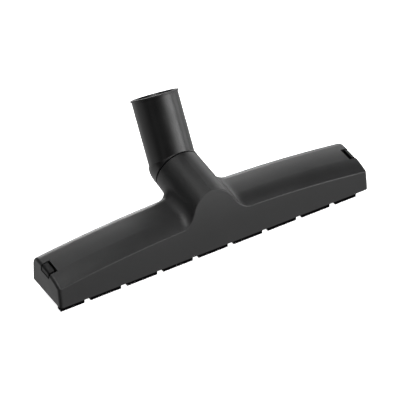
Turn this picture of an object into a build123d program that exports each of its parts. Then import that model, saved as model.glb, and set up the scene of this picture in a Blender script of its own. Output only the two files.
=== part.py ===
from build123d import *
import os
from math import sin, cos, tan, atan, sqrt, radians

# Vacuum floor brush head.  Millimetres, +Z up.  The finished parts stand on Z = 0 with their bristle tips.
# X runs along the head, +Y is the neck side (rear).  The front face looks along -Y.

# ---------------------------------------------------------------- driving dimensions
LENGTH = 300.0            # head length at its lower edge
Z_EDGE = 10.6             # lower edge of the housing above the floor
FRONT_Y = -25.87          # front face at the lower edge (construction frame)
FRONT_LEAN = 5.0          # lean of the front face at its lower edge
FRONT_R = 150.0           # the front face curves back on this radius
END_LEAN = 1.6            # the end faces lean in
WALL_DRAFT = 0.8          # the rear wall leans in
WALL = 2.5                # housing wall thickness

CREASE = (-21.03, 37.41)  # Y, Z of the front crease at the middle of the head
CREASE_SLOPE = 40.75      # slope of the top just behind the crease
R_SHOULDER = 26.8         # rounding of the top behind the crease
SHOULDER_END = 8.0        # slope where the shoulder runs into the flatter top
R_TOP = 140.0             # flatter part of the top
R_REAR = 8.6              # rounding between the top and the rear wall
CREST_Y, CREST_Z = 12.2, 45.0     # highest line of the hood
ARCH_R = 1045.0           # the top falls away to both ends on this radius
CREASE_ARCH_R = 1170.0    # the crease falls away less than the crest
R_END = 2.6               # rounding of the end edges
R_FRONT_CORNER = 3.0      # upright front corners
R_CREASE = 1.2            # outline of the front face
R_LIP_EDGE = 0.5          # edges at the neck mouth, collar and rim

NECK_Z0 = 40.5            # neck axis height at Y = 0
NECK_EL = 10.4            # neck axis rises to the rear
R_NECK = 21.0             # neck outside radius at its mouth
NECK_TAPER = 1.4          # the neck widens towards the front
NECK_END = 39.8           # neck mouth, measured along the neck axis from Y = 0
R_BORE = 19.0             # neck bore
R_BLEND = 12.5            # hollow fillet between neck and hood

GAP = 1.0                 # gap between neck mouth and elbow collar
R_SPIGOT = 18.94          # elbow spigot turning in the neck bore
SPIGOT_LEN = 9.6
R_DUCT = 16.5             # air passage in the elbow
R_COLLAR = 21.0
COLLAR_RISE = 2.6         # collar height on the inner side of the bend
BEND_S = 48.3             # bend point along the neck axis
BEND = 45.2               # tube direction against the neck axis
SWIVEL = 3.2              # the elbow sits turned by this much about the neck axis
R_TUBE = 20.15
TUBE_LEN = 60.4           # bend point to rim
R_LIP = 20.9
LIP_H = 1.7
R_SOCKET = 17.5           # 35 mm socket
SOCKET_LEN = 40.0

RING_S = 33.4             # retaining ring centre along the neck axis
RING_W = 1.6

WIN_X0 = 141.6                    # latch windows, open to the end faces
WIN_Y0, WIN_Y1 = -7.9, 6.1
WIN_Z = 28.2                      # lower end of the window, the ledge the hook sits on

STRIP_Y = (-14.7, 12.0)   # front and rear strip centre lines
STRIP_T = 5.6             # strip thickness
STRIP_LEN = 289.0
STRIP_X = (-0.9, 1.6)     # how far the front and the rear strip sit slid along their slots
GROUPS = 9
PITCH = 34.22
GROUP_GAP = 5.6
HOOK_X = (143.5, 145.4)   # inner faces of the two latch hooks, from the middle
HOOK_GAP = 2.2            # gap between a hook and the front side of its window
TIP_Z = -0.7              # bristle tips, below the datum of the other heights
STEM_Z = 8.6              # lower face of the strip backs, where the bristles leave them
RAIL_Z0, RAIL_Z1 = 9.6, 17.4
RAIL_W = 11.0

# ---------------------------------------------------------------- helpers
al = radians(NECK_EL)
NECK_DIR = Vector(0, cos(al), sin(al))
NECK_UP = Vector(0, -sin(al), cos(al))
NECK_O = Vector(0, 0, NECK_Z0)
FRONT_C = Vector(0, FRONT_Y + FRONT_R * cos(radians(FRONT_LEAN)), Z_EDGE - FRONT_R * sin(radians(FRONT_LEAN)))


def on_neck(s):
    return NECK_O + NECK_DIR * s


def cyl(p, d, r, length, r2=None):
    pl = Plane(origin=p, z_dir=d)
    if r2 is None or abs(r2 - r) < 1e-9:
        return pl * Cylinder(r, length, align=(Align.CENTER, Align.CENTER, Align.MIN))
    return pl * Cone(r, r2, length, align=(Align.CENTER, Align.CENTER, Align.MIN))


def block(x0, x1, y0, y1, z0, z1):
    return Pos((x0 + x1) / 2, (y0 + y1) / 2, (z0 + z1) / 2) * Box(x1 - x0, y1 - y0, z1 - z0)


def top_profile(d):
    """Section of the hood at X = 0, inset by d: shoulder, top, rear rounding, rear wall."""
    s0, s1 = radians(CREASE_SLOPE), radians(SHOULDER_END)
    c1 = (CREASE[0] + R_SHOULDER * sin(s0), CREASE[1] - R_SHOULDER * cos(s0))

    def p1(t):
        return (0, c1[0] - (R_SHOULDER - d) * sin(t), c1[1] + (R_SHOULDER - d) * cos(t))

    q = (c1[0] - R_SHOULDER * sin(s1), c1[1] + R_SHOULDER * cos(s1))
    c2 = (q[0] + R_TOP * sin(s1), q[1] - R_TOP * cos(s1))

    def p2(t):
        return (0, c2[0] - (R_TOP - d) * sin(t), c2[1] + (R_TOP - d) * cos(t))

    c3 = (c2[0], c2[1] + R_TOP - R_REAR)

    def p3(t):
        return (0, c3[0] + (R_REAR - d) * sin(t), c3[1] + (R_REAR - d) * cos(t))

    sf = radians(CREASE_SLOPE + 1)
    e3 = radians(90 - WALL_DRAFT)
    a0, a1, a2 = p1(sf), p1((sf + s1) / 2), p1(s1)
    b1, b2 = p2(s1 / 2), p2(0)
    k1, k2 = p3(e3 / 2), p3(e3)
    low = -8.0
    wall_low = (0, k2[1] + (k2[2] - low) * tan(radians(WALL_DRAFT)), low)
    fwd = (0, a0[1] - 18.0, a0[2] - 18.0 * tan(sf))
    fwd_low = (0, a0[1] - 18.0, low)
    edges = [
        ThreePointArc(a0, a1, a2), ThreePointArc(a2, b1, b2), ThreePointArc(b2, k1, k2),
        Line(k2, wall_low), Line(wall_low, fwd_low), Line(fwd_low, fwd), Line(fwd, a0),
    ]
    return make_face(edges)


def front_y(z):
    """Y of the front face at height z."""
    return FRONT_C.Y - sqrt(FRONT_R ** 2 - (z - FRONT_C.Z) ** 2)


def outer_section(x):
    """Outside section of the hood at X = x: the shoulder gets flatter towards the ends."""
    crest = CREST_Z - (ARCH_R - sqrt(ARCH_R ** 2 - x ** 2))
    zc = CREASE[1] - (CREASE_ARCH_R - sqrt(CREASE_ARCH_R ** 2 - x ** 2))
    yc = front_y(zc)
    s1 = radians(SHOULDER_END)
    c2 = (CREST_Y, crest - R_TOP)
    q = (c2[0] - R_TOP * sin(s1), c2[1] + R_TOP * cos(s1))
    s0 = 2 * atan((q[1] - zc) / (q[0] - yc)) - s1
    r = (q[0] - yc) / (sin(s0) - sin(s1))
    c1 = (yc + r * sin(s0), zc - r * cos(s0))
    c3 = (c2[0], crest - R_REAR)

    def on(c, rad, t):
        return (x, c[0] - rad * sin(t), c[1] + rad * cos(t))

    sf = s0 + radians(1.0)
    e3 = radians(90 - WALL_DRAFT)
    a0, a1, a2 = on(c1, r, sf), on(c1, r, (sf + s1) / 2), on(c1, r, s1)
    b1, b2 = on(c2, R_TOP, s1 / 2), on(c2, R_TOP, 0)
    k1, k2 = on(c3, R_REAR, -e3 / 2), on(c3, R_REAR, -e3)
    low = -8.0
    wall_low = (x, k2[1] + (k2[2] - low) * tan(radians(WALL_DRAFT)), low)
    fwd = (x, a0[1] - 14.0, a0[2] - 14.0 * tan(sf))
    fwd_low = (x, a0[1] - 14.0, low)
    return make_face([
        ThreePointArc(a0, a1, a2), ThreePointArc(a2, b1, b2), ThreePointArc(b2, k1, k2),
        Line(k2, wall_low), Line(wall_low, fwd_low), Line(fwd_low, fwd), Line(fwd, a0),
    ])


def hood(d, z_low):
    """Hood block inset by d, without its front face, standing on z_low."""
    if d == 0:
        env = loft([outer_section(x) for x in (-156, -120, -80, -40, 0, 40, 80, 120, 156)])
    else:
        ax = Axis((0, 0, CREST_Z - ARCH_R), (0, 1, 0))
        env = revolve(top_profile(d), axis=ax, revolution_arc=18)
        env = env.rotate(ax, -9)
    te = tan(radians(END_LEAN))
    half = LENGTH / 2 - d / cos(radians(END_LEAN))

    def xe(z):
        return half - (z - Z_EDGE) * te

    z_top = 70.0
    trap = make_face(Polyline((-xe(z_low), -60, z_low), (xe(z_low), -60, z_low),
                              (xe(z_top), -60, z_top), (-xe(z_top), -60, z_top), close=True))
    return env & extrude(trap, amount=120, dir=(0, 1, 0))


def ahead_of_front(d):
    """Everything in front of the curved front face moved in by d."""
    return block(-200, 200, -120, -2, -20, 74) - cyl(Vector(-210, FRONT_C.Y, FRONT_C.Z), (1, 0, 0), FRONT_R - d, 420)


def off_front(p):
    """Distance of a point from the front face."""
    v = p - FRONT_C
    return (v.Y ** 2 + v.Z ** 2) ** 0.5 - FRONT_R


def neck_radius(s):
    return R_NECK + (NECK_END - s) * tan(radians(NECK_TAPER))


def axis_dist(p):
    v = p - NECK_O
    return (v - NECK_DIR * v.dot(NECK_DIR)).length


def rounded_hood(d, z_low, r):
    """Hood block with its end edges rounded: all edges on the end planes but the lower ones."""
    h = hood(d, z_low)
    te = tan(radians(END_LEAN))
    half = LENGTH / 2 - d / cos(radians(END_LEAN))
    ends = []
    for e in h.edges():
        c = e.center()
        if abs(c.X) > 140 and c.Z > z_low + 2 and c.Y > -32:
            pts = [e.position_at(t) for t in (0.1, 0.5, 0.9)]
            on_end = all(abs(abs(p.X) - (half - (p.Z - Z_EDGE) * te)) < 0.01 for p in pts)
            spread = max(p.Z for p in pts) - min(p.Z for p in pts) + abs(pts[0].Y - pts[2].Y)
            if on_end and spread > 0.2:
                ends.append(e)
    return fillet(ends, r)


# ---------------------------------------------------------------- housing
outer = rounded_hood(0, Z_EDGE, R_END)

neck = cyl(on_neck(-60), NECK_DIR, neck_radius(-60), NECK_END + 60, R_NECK)
outer = outer + neck - ahead_of_front(0)

seam = []
for e in outer.edges():
    pts = [e.position_at(t) for t in (0.05, 0.3, 0.5, 0.7, 0.95)]
    along = [(p - NECK_O).dot(NECK_DIR) for p in pts]
    if all(abs(axis_dist(p) - neck_radius(s)) < 0.02 for p, s in zip(pts, along)):
        if all(abs(off_front(p)) < 0.05 for p in pts):
            continue
        if all(abs(s - NECK_END) < 0.05 for s in along):
            continue
        if e.length > 0.5 and not (e.geom_type == GeomType.LINE):
            seam.append(e)
outer = fillet(seam, R_BLEND)

# crease: the outline of the front face above its lower edge
outline = []
for e in outer.edges():
    pts = [e.position_at(t) for t in (0.02, 0.3, 0.5, 0.7, 0.98)]
    on_front = all(abs(off_front(p)) < 0.01 for p in pts)
    if on_front and not all(abs(p.Z - Z_EDGE) < 0.01 for p in pts) and abs(pts[0].X - pts[-1].X) > 0.4:
        outline.append(e)
outer = fillet(outline, R_CREASE)

# upright front corners
te = tan(radians(END_LEAN))
half = LENGTH / 2 + 0.02
wedge = extrude(make_face(Polyline((-half - 20 * te, -40, Z_EDGE - 20), (half + 20 * te, -40, Z_EDGE - 20),
                                   (half - 60 * te, -40, Z_EDGE + 60), (-half + 60 * te, -40, Z_EDGE + 60), close=True)),
                amount=45, dir=(0, 1, 0))
wedge = wedge & cyl(Vector(-210, FRONT_C.Y, FRONT_C.Z), (1, 0, 0), FRONT_R + 0.02, 420)
corners = []
for e in wedge.edges():
    pts = [e.position_at(t) for t in (0.1, 0.5, 0.9)]
    if all(abs(off_front(p) - 0.02) < 0.005 and abs(p.X) > 145 for p in pts):
        corners.append(e)
wedge = fillet(corners, R_FRONT_CORNER)
for sx in (-1, 1):
    xs = sorted((sx * (LENGTH / 2 - 9), sx * (LENGTH / 2 + 6)))
    outer = outer - (block(xs[0], xs[1], -32, FRONT_Y + 9, Z_EDGE - 3, Z_EDGE + 30) - wedge)

inner = hood(WALL, -5) - ahead_of_front(WALL)
bore = cyl(on_neck(-60), NECK_DIR, R_BORE, 60 + NECK_END + 5) - ahead_of_front(WALL)
housing = outer - inner - bore
# groove for the retaining ring in the neck
housing = housing - cyl(on_neck(RING_S - 1.2), NECK_DIR, 20.0, 2.4)
# latch windows
for sx in (-1, 1):
    xs = sorted((sx * WIN_X0, sx * (LENGTH / 2 + 5)))
    housing = housing - block(xs[0], xs[1], WIN_Y0, WIN_Y1, WIN_Z, 50)



def ring_edges(shape, origin, direction, s, r):
    """Circles of radius r about an axis, at s along it."""
    out = []
    for e in shape.edges():
        pts = [e.position_at(t) for t in (0.0, 0.25, 0.5, 0.75)]
        vs = [p - origin for p in pts]
        if all(abs(v.dot(direction) - s) < 0.02 and abs((v - direction * v.dot(direction)).length - r) < 0.02 for v in vs):
            out.append(e)
    return out


housing = fillet(ring_edges(housing, NECK_O, NECK_DIR, NECK_END, R_NECK), R_LIP_EDGE)

# ---------------------------------------------------------------- swivel elbow
ring0 = NECK_END + GAP
bend_p = on_neck(BEND_S)
be = radians(BEND)
tube_dir = NECK_DIR * cos(be) + NECK_UP * sin(be)
low = cyl(on_neck(ring0), NECK_DIR, R_COLLAR, BEND_S - ring0) + Pos(*bend_p) * Sphere(R_COLLAR)
low = low & cyl(on_neck(ring0), NECK_DIR, 40, 60)
# the larger lower half stops on a slanting plane
kn = radians(0.60 * BEND)
cut_n = NECK_DIR * cos(kn) + NECK_UP * sin(kn)
cut_p = on_neck(ring0 + COLLAR_RISE) + NECK_UP * R_COLLAR
low = low & (Plane(origin=cut_p, z_dir=cut_n * -1) * Pos(0, 0, 40) * Box(160, 160, 80))
elbow = low + Pos(*bend_p) * Sphere(R_TUBE)
elbow = (elbow & cyl(on_neck(ring0), NECK_DIR, 60, 80)) + (
    cyl(bend_p, tube_dir, R_TUBE, TUBE_LEN) & cyl(on_neck(ring0), NECK_DIR, 120, 120))
# rim lip
elbow = elbow + cyl(bend_p + tube_dir * (TUBE_LEN - LIP_H), tube_dir, R_LIP, LIP_H)
# spigot inside the neck
elbow = elbow + cyl(on_neck(NECK_END - SPIGOT_LEN), NECK_DIR, R_SPIGOT, SPIGOT_LEN + GAP + 0.5)
# passage, socket, lead-in
elbow = elbow - cyl(on_neck(NECK_END - SPIGOT_LEN - 1), NECK_DIR, R_DUCT, BEND_S - NECK_END + SPIGOT_LEN + 1)
elbow = elbow - Pos(*bend_p) * Sphere(R_DUCT)
elbow = elbow - cyl(bend_p, tube_dir, R_DUCT, TUBE_LEN + 1)
elbow = elbow - cyl(bend_p + tube_dir * (TUBE_LEN - SOCKET_LEN - 2.0), tube_dir, R_SOCKET, SOCKET_LEN + 3.0)
elbow = elbow - cyl(bend_p + tube_dir * (TUBE_LEN - 2.0), tube_dir, R_SOCKET, 2.0, R_SOCKET + 1.3)
# groove for the retaining ring
groove = cyl(on_neck(RING_S - RING_W / 2 - 0.05), NECK_DIR, 20, RING_W + 0.1) - cyl(on_neck(RING_S - 2), NECK_DIR, 17.9, 4)
elbow = elbow - groove

# ---------------------------------------------------------------- retaining ring (split)
ring = cyl(on_neck(RING_S - RING_W / 2), NECK_DIR, 19.6, RING_W) - cyl(on_neck(RING_S - 3), NECK_DIR, 17.95, 6)
split = Plane(origin=on_neck(RING_S), z_dir=NECK_DIR, x_dir=(1, 0, 0)) * Pos(0, -19, 0) * Box(5, 8, 6)
ring = ring - split

elbow = fillet(ring_edges(elbow, NECK_O, NECK_DIR, ring0, R_COLLAR), R_LIP_EDGE)
elbow = fillet(ring_edges(elbow, bend_p, tube_dir, TUBE_LEN, R_LIP)
               + ring_edges(elbow, bend_p, tube_dir, TUBE_LEN - LIP_H, R_LIP), R_LIP_EDGE)

turn = Axis(tuple(NECK_O), tuple(NECK_DIR))
elbow = elbow.rotate(turn, SWIVEL)
ring = ring.rotate(turn, SWIVEL)

# ---------------------------------------------------------------- brush insert
fit = hood(WALL + 0.35, -5) - ahead_of_front(WALL + 0.35)
insert = fit & block(-160, 160, -40, 40, 10.4, 13.0)                     # floor plate
rim = (fit & block(-160, 160, -40, 40, 10.4, 17.4)) - block(-144.2, 144.2, -19.6, 16.0, 0, 60)
insert = insert + rim
for yc in STRIP_Y:
    insert = insert + (fit & block(-160, 160, yc - RAIL_W / 2, yc + RAIL_W / 2, RAIL_Z0, RAIL_Z1))
# slots for the strip backs, open at both ends
for yc in STRIP_Y:
    insert = insert - block(-160, 160, yc - STRIP_T / 2 - 0.15, yc + STRIP_T / 2 + 0.15, 0, 13.4)
    insert = insert - block(-160, 160, yc - 4.0, yc + 4.0, 11.4, 14.8)
# suction mouth with two ribs
for x0, x1 in ((-128, -49), (-45, 45), (49, 128)):
    insert = insert - block(x0, x1, -7.6, 5.2, 0, 30)
# snap tongues in the latch windows
for sx, hook_x in ((-1, HOOK_X[0]), (1, HOOK_X[1])):
    def bx(x0, x1, y0, y1, z0, z1):
        a, b = sorted((sx * x0, sx * x1))
        return block(a, b, y0, y1, z0, z1)
    tongue = bx(145.4, 146.95, WIN_Y0 + HOOK_GAP, WIN_Y1 - 0.5, 10.4, 40)
    tongue = tongue + bx(hook_x, LENGTH / 2, WIN_Y0 + HOOK_GAP, WIN_Y1 - 0.5, WIN_Z + 0.25, 40)
    insert = insert + tongue
insert = insert & rounded_hood(0.5, -5, R_END - 0.5)

# ---------------------------------------------------------------- strips
def strip_back(yc, xc):
    x0, x1 = xc - STRIP_LEN / 2, xc + STRIP_LEN / 2
    return block(x0, x1, yc - STRIP_T / 2, yc + STRIP_T / 2, STEM_Z, 12.0) + block(x0, x1, yc - 3.8, yc + 3.8, 11.6, 14.6)


def bristles(yc, xc):
    """Nine square-cut groups: the gaps sit on the pitch, the two end groups are shorter."""
    cuts = [xc + (i - (GROUPS - 2) / 2) * PITCH for i in range(GROUPS - 1)]
    starts = [xc - STRIP_LEN / 2] + [c + GROUP_GAP / 2 for c in cuts]
    stops = [c - GROUP_GAP / 2 for c in cuts] + [xc + STRIP_LEN / 2]
    out = []
    for a, b in zip(starts, stops):
        prof = Plane(origin=((a + b) / 2, yc, TIP_Z)) * RectangleRounded(b - a, STRIP_T, 0.5)
        out.append(extrude(prof, amount=STEM_Z - TIP_Z))
    return Compound(children=out)


front_back, rear_back = strip_back(STRIP_Y[0], STRIP_X[0]), strip_back(STRIP_Y[1], STRIP_X[1])
front_br, rear_br = bristles(STRIP_Y[0], STRIP_X[0]), bristles(STRIP_Y[1], STRIP_X[1])

parts = {
    "housing": housing,
    "swivel_elbow": elbow,
    "swivel_retaining_ring": ring,
    "brush_insert": insert,
    "front_strip_back": front_back,
    "rear_strip_back": rear_back,
    "front_bristles": front_br,
    "rear_bristles": rear_br,
}

# origin: middle of the whole object's footprint, on the floor
boxes = [p.bounding_box() for p in parts.values()]
y_mid = (min(b.min.Y for b in boxes) + max(b.max.Y for b in boxes)) / 2
x_mid = (min(b.min.X for b in boxes) + max(b.max.X for b in boxes)) / 2
print("offset to the footprint's middle", round(x_mid, 4), round(y_mid, 4))

os.makedirs("parts", exist_ok=True)
for name, p in parts.items():
    q = Pos(-x_mid, -y_mid, -TIP_Z) * p
    export_step(q, f"parts/{name}.step")
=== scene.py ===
import bpy
import bmesh
import math
import random
from mathutils import Vector, Matrix


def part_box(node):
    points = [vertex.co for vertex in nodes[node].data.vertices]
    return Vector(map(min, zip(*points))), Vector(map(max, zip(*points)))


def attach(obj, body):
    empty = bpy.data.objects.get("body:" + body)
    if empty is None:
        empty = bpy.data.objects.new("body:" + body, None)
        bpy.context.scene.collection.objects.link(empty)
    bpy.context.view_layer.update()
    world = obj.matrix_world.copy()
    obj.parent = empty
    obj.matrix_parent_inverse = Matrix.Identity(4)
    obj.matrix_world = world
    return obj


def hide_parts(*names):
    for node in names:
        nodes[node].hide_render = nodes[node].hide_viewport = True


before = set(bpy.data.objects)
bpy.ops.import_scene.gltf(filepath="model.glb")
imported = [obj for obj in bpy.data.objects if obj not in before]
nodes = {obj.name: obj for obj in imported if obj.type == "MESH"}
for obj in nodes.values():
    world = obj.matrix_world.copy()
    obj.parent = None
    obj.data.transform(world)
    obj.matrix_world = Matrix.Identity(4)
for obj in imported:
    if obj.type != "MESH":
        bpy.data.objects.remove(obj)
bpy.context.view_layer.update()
scene = bpy.context.scene
scene.view_settings.view_transform = "Standard"
scene.view_settings.look = "None"

# ------------------------------------------------------------------ camera
# direction from the object to the camera, its distance and the point it looks at
AZ, EL = math.radians(31.935), math.radians(37.605)
DIST = 1.8129
FOCUS_PX = 2203.4                      # focal length in pixels of the 400 px frame
TARGET = Vector((-0.002941, -0.0359798, 0.044171))
ROLL = math.radians(0.08)
BACK = Vector((-math.sin(AZ) * math.cos(EL), -math.cos(AZ) * math.cos(EL), math.sin(EL)))
RIGHT = Vector((math.cos(AZ), -math.sin(AZ), 0.0))
UP = BACK.cross(RIGHT)
RIGHT, UP = (RIGHT * math.cos(ROLL) + UP * math.sin(ROLL)), (UP * math.cos(ROLL) - RIGHT * math.sin(ROLL))

cam_data = bpy.data.cameras.new("camera")
cam_data.sensor_fit = "HORIZONTAL"
cam_data.sensor_width = 36.0
cam_data.lens = FOCUS_PX * 36.0 / 400.0
cam_data.clip_start = 0.05
cam_data.clip_end = 50.0
cam_data.dof.use_dof = False
camera = bpy.data.objects.new("camera", cam_data)
camera.matrix_world = Matrix.Translation(TARGET + BACK * DIST) @ Matrix((RIGHT, UP, BACK)).transposed().to_4x4()
scene.collection.objects.link(camera)
scene.camera = camera


# ------------------------------------------------------------------ materials
def new_material(name):
    m = bpy.data.materials.new(name)
    m.use_nodes = True
    t = m.node_tree
    t.nodes.clear()
    out = t.nodes.new("ShaderNodeOutputMaterial")
    sh = t.nodes.new("ShaderNodeBsdfPrincipled")
    t.links.new(sh.outputs["BSDF"], out.inputs["Surface"])
    return m, t, sh


def noise_node(t, coord, scale, detail=3.0, rough=0.55):
    n = t.nodes.new("ShaderNodeTexNoise")
    n.inputs["Scale"].default_value = scale
    n.inputs["Detail"].default_value = detail
    n.inputs["Roughness"].default_value = rough
    t.links.new(coord, n.inputs["Vector"])
    return n


def ramp_node(t, fac, stops):
    r = t.nodes.new("ShaderNodeValToRGB")
    el = r.color_ramp.elements
    while len(el) < len(stops):
        el.new(0.5)
    for e, (p, c) in zip(el, stops):
        e.position = p
        e.color = (*c, 1.0) if isinstance(c, tuple) else (c, c, c, 1.0)
    t.links.new(fac, r.inputs["Fac"])
    return r


def range_node(t, fac, lo, hi, a=0.0, b=1.0):
    r = t.nodes.new("ShaderNodeMapRange")
    r.inputs["From Min"].default_value = a
    r.inputs["From Max"].default_value = b
    r.inputs["To Min"].default_value = lo
    r.inputs["To Max"].default_value = hi
    t.links.new(fac, r.inputs["Value"])
    return r


def moulded_plastic(name, dark, light, rough, grain_scale, grain_mm, spec=0.5):
    """Dyed moulded plastic: cloudy tint, eroded-tool grain in the bump, and a finish that varies a little."""
    m, t, sh = new_material(name)
    pos = t.nodes.new("ShaderNodeTexCoord").outputs["Object"]
    cloud = noise_node(t, pos, 22.0, 4.0, 0.6)
    tint = ramp_node(t, cloud.outputs["Fac"], [(0.30, dark), (0.70, light)])
    t.links.new(tint.outputs["Color"], sh.inputs["Base Color"])
    grain = noise_node(t, pos, grain_scale, 2.0, 0.6)
    flow = noise_node(t, pos, 60.0, 3.0, 0.5)
    r1 = range_node(t, flow.outputs["Fac"], rough - 0.035, rough + 0.035, 0.3, 0.7)
    r2 = range_node(t, grain.outputs["Fac"], -0.05, 0.05, 0.3, 0.7)
    add = t.nodes.new("ShaderNodeMath")
    add.operation = "ADD"
    t.links.new(r1.outputs["Result"], add.inputs[0])
    t.links.new(r2.outputs["Result"], add.inputs[1])
    t.links.new(add.outputs["Value"], sh.inputs["Roughness"])
    bump = t.nodes.new("ShaderNodeBump")
    bump.inputs["Strength"].default_value = 0.6
    bump.inputs["Distance"].default_value = grain_mm / 1000.0
    t.links.new(grain.outputs["Fac"], bump.inputs["Height"])
    t.links.new(bump.outputs["Normal"], sh.inputs["Normal"])
    sh.inputs["IOR"].default_value = 1.5
    sh.inputs["Specular IOR Level"].default_value = spec
    return m


mat_housing = moulded_plastic("housing_plastic", (0.0110, 0.0110, 0.0112), (0.0130, 0.0130, 0.0132), 0.42, 2600.0, 0.03, 0.25)
mat_elbow = moulded_plastic("elbow_plastic", (0.0052, 0.0052, 0.0053), (0.0068, 0.0068, 0.0069), 0.34, 3200.0, 0.02, 0.27)
# the insert plastic is set darker than the housing so that the tab sunk in each end window looks dark: painted
# shade of the window recess
mat_insert_painted_shade = moulded_plastic("insert_plastic_painted_shade", (0.0038, 0.0038, 0.0039), (0.0050, 0.0050, 0.0051), 0.45, 2600.0, 0.03, 0.14)
mat_strip = moulded_plastic("strip_plastic", (0.0040, 0.0040, 0.0041), (0.0056, 0.0056, 0.0057), 0.55, 2200.0, 0.03, 0.15)
mat_ring = moulded_plastic("ring_plastic", (0.52, 0.52, 0.50), (0.62, 0.62, 0.60), 0.40, 3000.0, 0.015)


def bristle_material():
    m, t, sh = new_material("bristle_nylon")
    pos = t.nodes.new("ShaderNodeTexCoord").outputs["Object"]
    n = noise_node(t, pos, 900.0, 2.0, 0.5)
    tint = ramp_node(t, n.outputs["Fac"], [(0.25, (0.0012, 0.0012, 0.0013)), (0.75, (0.0030, 0.0030, 0.0031))])
    t.links.new(tint.outputs["Color"], sh.inputs["Base Color"])
    r = range_node(t, n.outputs["Fac"], 0.60, 0.80, 0.3, 0.7)
    t.links.new(r.outputs["Result"], sh.inputs["Roughness"])
    sh.inputs["IOR"].default_value = 1.53
    sh.inputs["Specular IOR Level"].default_value = 0.02
    return m


mat_bristle = bristle_material()


def dress(node, material):
    o = nodes[node]
    if not o.material_slots:
        o.data.materials.append(material)
    for s in o.material_slots:
        s.material = material


dress("housing", mat_housing)
dress("swivel_elbow", mat_elbow)
dress("brush_insert", mat_insert_painted_shade)
dress("front_strip_back", mat_strip)
dress("rear_strip_back", mat_strip)
dress("swivel_retaining_ring", mat_ring)


# ------------------------------------------------------------------ bristles
def bristle_piece(node, seed):
    """Trimmed bristles standing close together inside the outline of every group of a strip."""
    rng = random.Random(seed)
    lo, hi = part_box(node)
    y_mid, half_t = (lo.y + hi.y) / 2, (hi.y - lo.y) / 2
    top, tip = hi.z + 0.0008, lo.z
    pitch, gap, count, x_mid = 0.03422, 0.0056, 9, (lo.x + hi.x) / 2
    cuts = [x_mid + (i - (count - 2) / 2) * pitch for i in range(count - 1)]
    starts = [lo.x] + [c + gap / 2 for c in cuts]
    stops = [c - gap / 2 for c in cuts] + [hi.x]
    verts, faces = [], []

    def bristle(x0, y0, x1, y1, z1, r):
        """One bristle from the strip back (x0, y0) to its trimmed tip (x1, y1, z1)."""
        k = len(verts)
        a0 = rng.uniform(0, math.pi / 2)
        for f, w in ((0.0, 1.0), (0.55, 1.0), (1.0, 0.9)):
            g = f * f
            cx, cy, cz = x0 + (x1 - x0) * g, y0 + (y1 - y0) * g, top + (z1 - top) * f
            for i in range(4):
                a = a0 + i * math.pi / 2
                verts.append((cx + r * w * math.cos(a), cy + r * w * math.sin(a), cz))
        for l in range(2):
            for i in range(4):
                p, q = k + 4 * l + i, k + 4 * l + (i + 1) % 4
                faces.append((p, p + 4, q + 4, q))
        faces.append((k + 8, k + 11, k + 10, k + 9))
        faces.append((k, k + 1, k + 2, k + 3))

    edge, step = 0.00020, 0.00041
    rows = int((2 * half_t - 2 * edge) / (step * 0.87))
    for a, b in zip(starts, stops):
        n = int((b - a - 2 * edge) / step)
        for i in range(rows + 1):
            y = y_mid + (half_t - edge) * (2 * i / rows - 1)
            for j in range(n + 1 - i % 2):
                x = a + edge + (b - a - 2 * edge) * (j + (0.5 if i % 2 else 0.0)) / n
                outer = i in (0, rows) or (j in (0, n) and not i % 2)
                jit, lean = (0.00003, 0.00003) if outer else (0.00008, 0.0001)
                x0, y0 = x + rng.uniform(-jit, jit), y + rng.uniform(-jit, jit)
                x1, y1 = x0 + rng.gauss(0, lean), y0 + rng.gauss(0, lean)
                x0, x1 = (min(max(v, a + edge), b - edge) for v in (x0, x1))
                y0, y1 = (min(max(v, y_mid - half_t + edge), y_mid + half_t - edge) for v in (y0, y1))
                bristle(x0, y0, x1, y1, tip + abs(rng.gauss(0, 0.00005)), rng.uniform(0.00018, 0.0002))
    mesh = bpy.data.meshes.new(node + "_tufts")
    mesh.from_pydata(verts, [], faces)
    mesh.validate()
    mesh.update()
    mesh.materials.append(mat_bristle)
    o = bpy.data.objects.new(node + "_tufts", mesh)
    scene.collection.objects.link(o)
    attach(o, "head")
    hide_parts(node)
    print(node, "triangles", sum(len(f) - 2 for f in faces))
    return o


bristle_piece("front_bristles", 11)
bristle_piece("rear_bristles", 23)

# ------------------------------------------------------------------ floor and light
# a white floor, lit evenly enough to stay white around the object
mesh = bpy.data.meshes.new("floor")
bm = bmesh.new()
bmesh.ops.create_grid(bm, x_segments=4, y_segments=4, size=6.0)
bm.to_mesh(mesh)
bm.free()
floor = bpy.data.objects.new("floor", mesh)
floor.location = (0, 0, -0.0002)
scene.collection.objects.link(floor)
m, t, sh = new_material("pale_floor")
sh.inputs["Base Color"].default_value = (0.80, 0.80, 0.80, 1)
sh.inputs["Roughness"].default_value = 0.9
sh.inputs["Specular IOR Level"].default_value = 0.0
sh.inputs["Emission Color"].default_value = (1, 1, 1, 1)
sh.inputs["Emission Strength"].default_value = 1.0
mesh.materials.append(m)
floor.visible_diffuse = False
floor.visible_glossy = False

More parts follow.
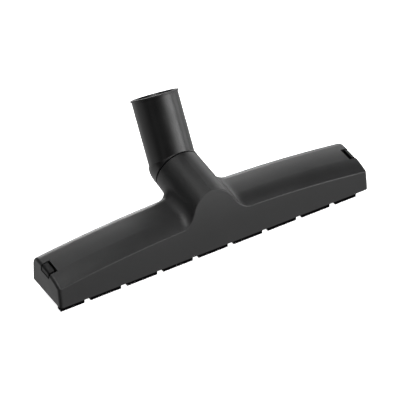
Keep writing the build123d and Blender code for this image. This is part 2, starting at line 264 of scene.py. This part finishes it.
# light thrown back from the white floor comes from the lower half of the surroundings, less of it from the front left and the rear
world = bpy.data.worlds.new("studio")
world.use_nodes = True
wt = world.node_tree
where = wt.nodes.new("ShaderNodeTexCoord").outputs["Generated"]
sep = wt.nodes.new("ShaderNodeSeparateXYZ")
wt.links.new(where, sep.inputs["Vector"])
half = ramp_node(wt, range_node(wt, sep.outputs["Z"], 0.0, 1.0, -1.0, 1.0).outputs["Result"],
                 [(0.0, 1.0), (0.497, 1.0), (0.503, 0.0), (1.0, 0.0)])
both = half.outputs["Color"]
for toward, stops in (((-0.65, -0.40, -0.61), [(0.0, 1.0), (0.88, 1.0), (0.955, 0.08), (1.0, 0.05)]),
                      ((0.42, 0.67, -0.61), [(0.0, 1.0), (0.88, 1.0), (0.96, 0.55), (1.0, 0.5)])):
    side = wt.nodes.new("ShaderNodeVectorMath")
    side.operation = "DOT_PRODUCT"
    side.inputs[1].default_value = Vector(toward).normalized()
    wt.links.new(where, side.inputs[0])
    dim = ramp_node(wt, range_node(wt, side.outputs["Value"], 0.0, 1.0, -1.0, 1.0).outputs["Result"], stops)
    mult = wt.nodes.new("ShaderNodeMath")
    mult.operation = "MULTIPLY"
    wt.links.new(both, mult.inputs[0])
    wt.links.new(dim.outputs["Color"], mult.inputs[1])
    both = mult.outputs["Value"]
wt.links.new(both, wt.nodes["Background"].inputs["Color"])
wt.nodes["Background"].inputs["Strength"].default_value = 1.0
scene.world = world


def softbox(direction, power, dist=2.2, size=0.9, centre=Vector((0, -0.035, 0.05))):
    d = Vector(direction).normalized()
    data = bpy.data.lights.new("softbox", "AREA")
    data.shape = "DISK"
    data.size = size
    data.energy = power
    o = bpy.data.objects.new("softbox", data)
    o.location = centre + d * dist
    o.rotation_euler = (-d).to_track_quat("-Z", "Y").to_euler()
    scene.collection.objects.link(o)
    return o


# round soft lamps on a dome: above, behind, and along the right and the front; the camera's side stays dark
for direction, power in (
    ((-0.20, 0.02, 0.98), 22.9), ((-0.22, 0.34, 0.91), 6.4), ((-0.06, -0.35, 0.94), 6.2),
    ((0.42, 0.82, 0.40), 20.7), ((0.25, 0.96, 0.12), 19.7), ((0.71, 0.66, 0.22), 6.6), ((0.10, 0.82, 0.57), 2.5),
    ((-0.55, 0.54, 0.63), 2.4), ((0.17, 0.50, 0.85), 1.6),
    ((0.72, -0.64, 0.27), 22.0), ((0.49, -0.68, 0.55), 16.7), ((0.97, -0.16, 0.16), 9.9), ((0.92, 0.39, 0.05), 4.1),
    ((0.83, -0.34, 0.44), 2.2), ((0.25, -0.89, 0.37), 8.7), ((-0.08, -0.98, 0.20), 8.2), ((0.47, -0.88, 0.09), 3.8),
    ((-0.83, -0.54, 0.14), 1.5),
):
    softbox(direction, power)
